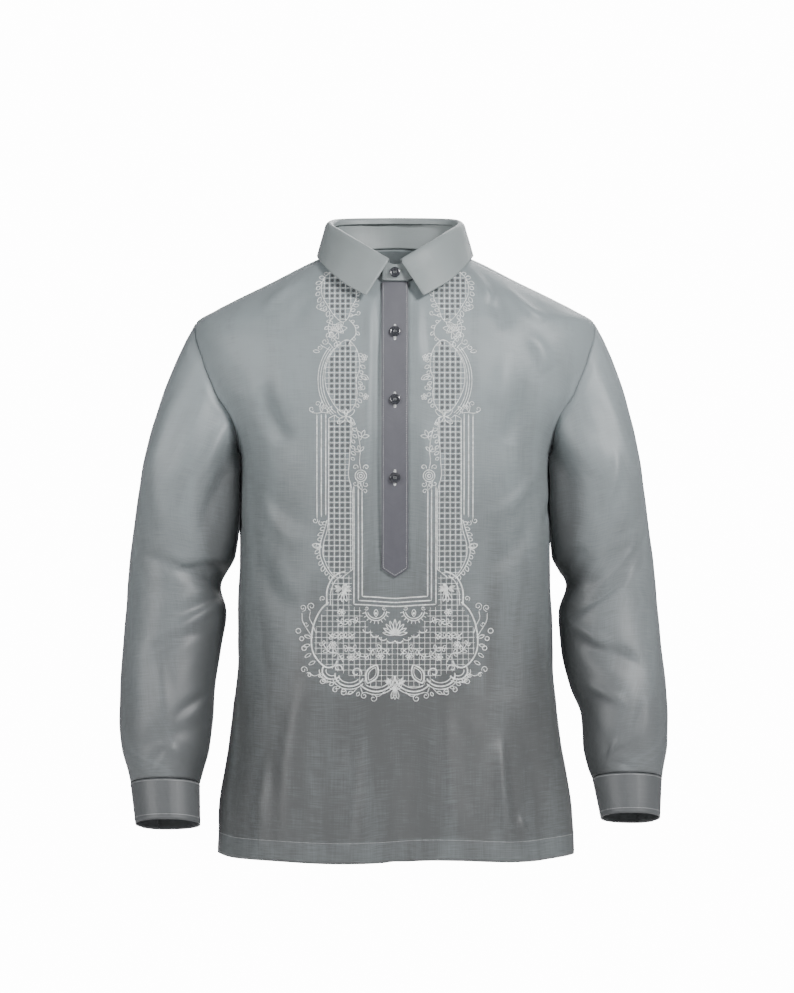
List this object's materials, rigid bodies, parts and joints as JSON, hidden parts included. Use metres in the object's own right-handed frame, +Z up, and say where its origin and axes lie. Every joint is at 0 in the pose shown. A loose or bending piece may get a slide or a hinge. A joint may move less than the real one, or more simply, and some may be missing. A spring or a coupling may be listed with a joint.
{
  "type": "barong tagalog shirt",
  "caption": "Long-sleeved sheer dress shirt in its worn form, with a turned-down collar, buttoned half placket, embroidered bib, cuffs and side vents.",
  "frame": {"origin": "middle of the wearer's neck, level with the base of the collar where the collar meets the shoulders", "axes": "+Z up the wearer, -Y the way the front faces, +X the wearer's left"},
  "size_m": [0.6537, 0.2771, 0.7688],
  "materials": {
    "organza": "sheer, crisp plain weave with a soft sheen",
    "organza_double": "doubled and interfaced, slightly denser",
    "button_resin": "polished dark resin"
  },
  "bodies": {
    "root": {"front_panel": "organza", "back_panel": "organza", "sleeve_right": "organza", "sleeve_left": "organza", "cuff_right": "organza_double", "cuff_left": "organza_double", "collar_stand": "organza_double", "collar_fall": "organza_double", "placket_over": "organza_double", "placket_under": "organza_double", "button_stand": "button_resin", "button_front_1": "button_resin", "button_front_2": "button_resin", "button_front_3": "button_resin", "button_cuff_right": "button_resin", "button_cuff_left": "button_resin"}
  },
  "joints": []
}
